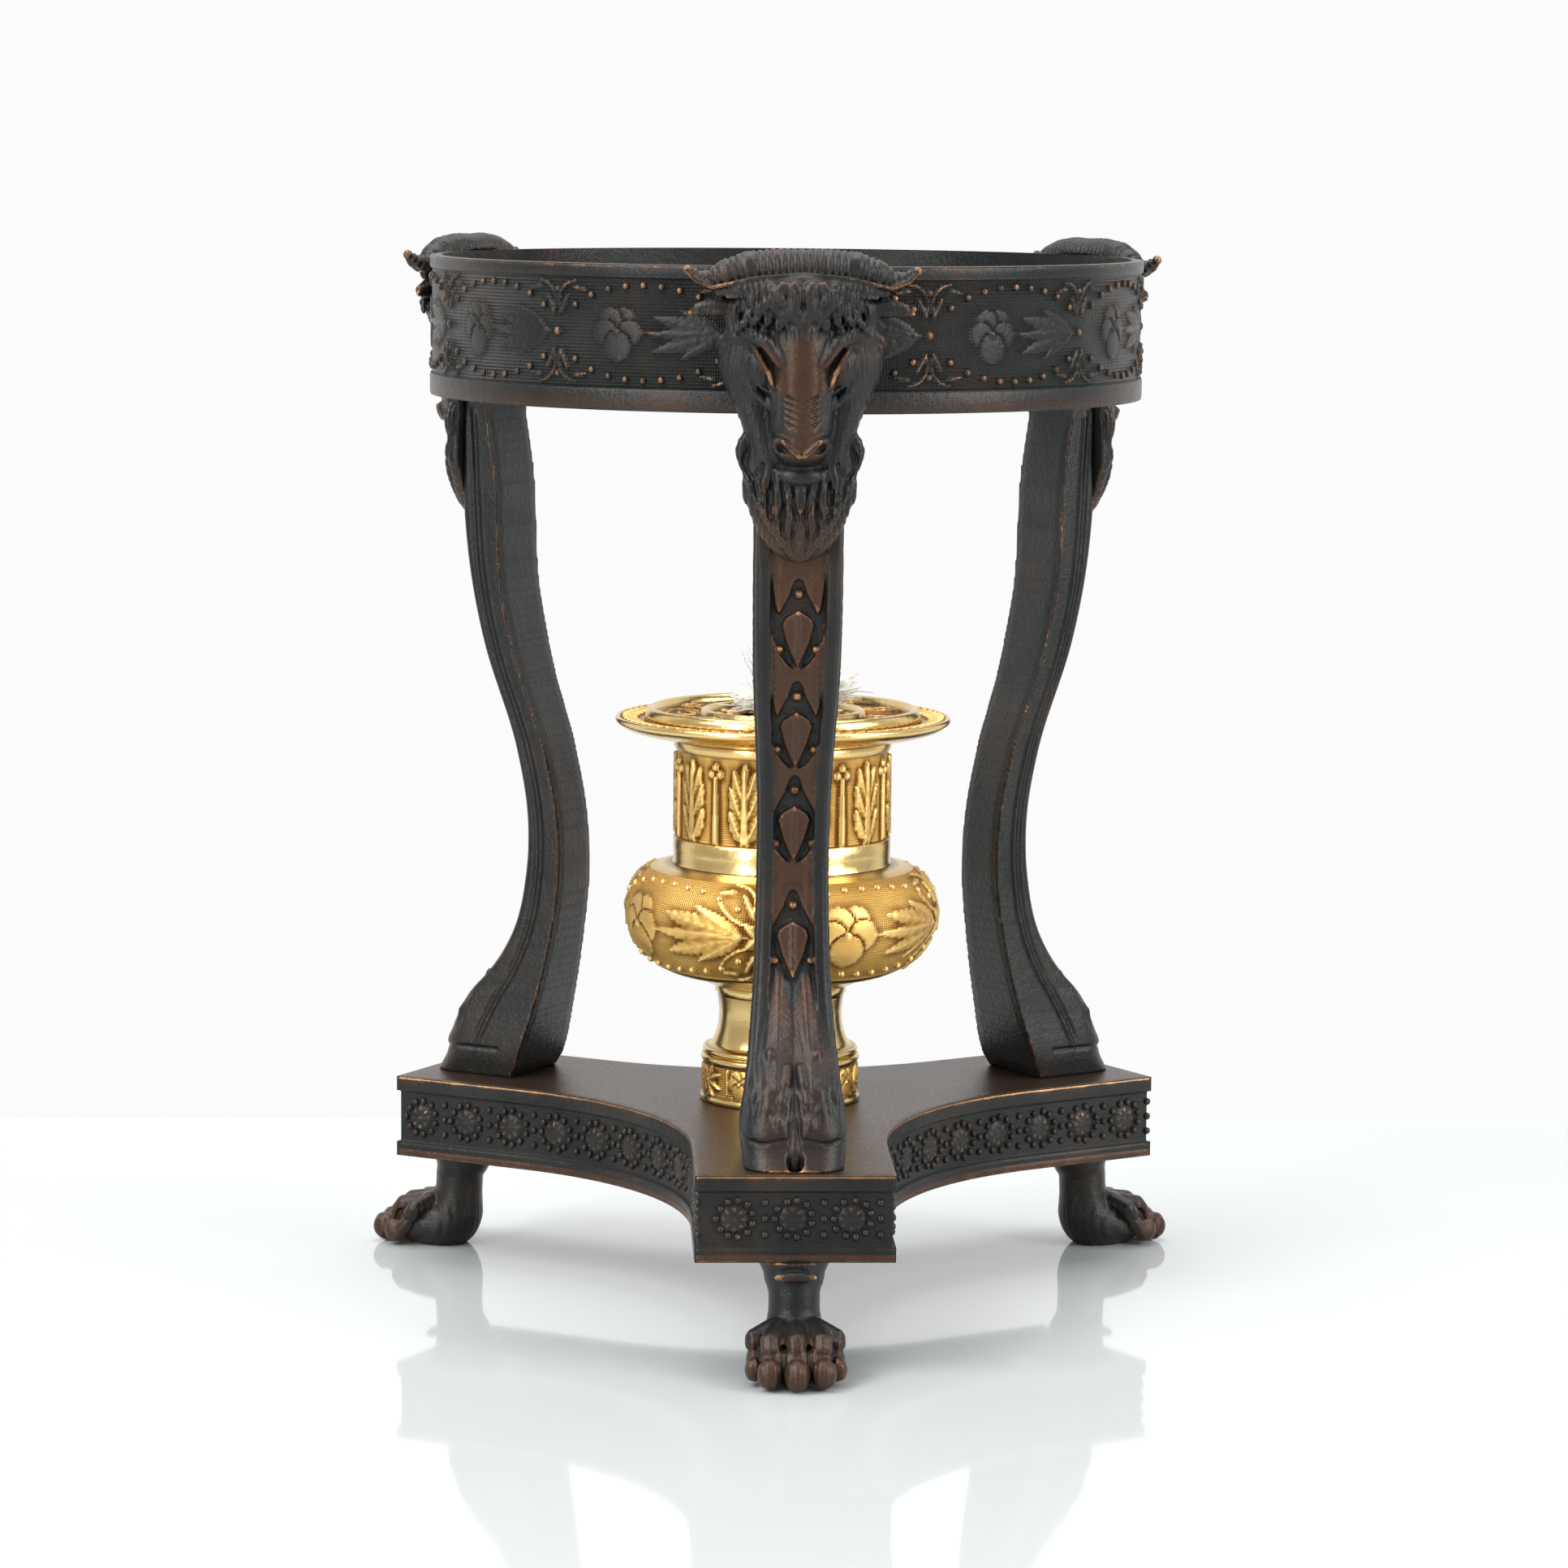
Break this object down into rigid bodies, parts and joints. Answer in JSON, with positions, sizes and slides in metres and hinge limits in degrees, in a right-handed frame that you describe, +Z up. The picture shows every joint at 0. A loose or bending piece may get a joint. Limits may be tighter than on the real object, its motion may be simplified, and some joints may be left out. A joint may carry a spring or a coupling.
{
  "type": "tripod spirit burner",
  "caption": "Three-legged bronze desk tripod with goat masks and hoofed legs, holding an open frieze ring over a gilt urn with a lift-off lid and cotton wick.",
  "frame": {"origin": "centre of the three feet, on the floor, on the tripod's upright axis", "axes": "+Z up along the tripod's axis; the front leg stands towards -Y and +X is to its right"},
  "size_m": [0.135, 0.1286, 0.1649],
  "materials": {
    "patinated_bronze": "dark patinated cast bronze, worn to copper on its edges",
    "gilt_bronze": "mercury gilding, matt in the grounds and burnished on the mouldings",
    "plain_brass": "turned brass, dull",
    "steel_fixings": "darkened steel",
    "cork": "cork sheet",
    "cotton": "loose undyed cotton"
  },
  "bodies": {
    "stand": {"plinth": "patinated_bronze", "paw_foot_front": "patinated_bronze", "paw_foot_right": "patinated_bronze", "paw_foot_left": "patinated_bronze", "foot_studs": "steel_fixings", "leg_front": "patinated_bronze", "leg_right": "patinated_bronze", "leg_left": "patinated_bronze", "leg_washers": "steel_fixings", "leg_screws": "steel_fixings", "frieze_ring": "patinated_bronze", "goat_mask_front": "patinated_bronze", "goat_mask_right": "patinated_bronze", "goat_mask_left": "patinated_bronze", "ring_screws": "plain_brass", "jaw_screws": "steel_fixings", "urn_socle": "gilt_bronze", "urn_stem": "gilt_bronze", "urn_bowl": "gilt_bronze", "urn_neck": "gilt_bronze", "rim_dish": "gilt_bronze", "tie_rod": "steel_fixings", "tie_washer": "steel_fixings", "tie_nuts": "steel_fixings", "spirit_liner": "plain_brass", "cork_seal": "cork"},
    "lid": {"lid": "gilt_bronze", "wick_tube": "plain_brass", "tube_nut": "plain_brass"},
    "wick": {"wick": "cotton"}
  },
  "joints": [
    {"name": "lid_lift", "type": "slide", "parent": "stand", "child": "lid", "axis": [0, 0, 1], "range_m": [0, 0.045]},
    {"name": "wick_raise", "type": "slide", "parent": "lid", "child": "wick", "axis": [0, 0, 1], "range_m": [0, 0.008]}
  ]
}
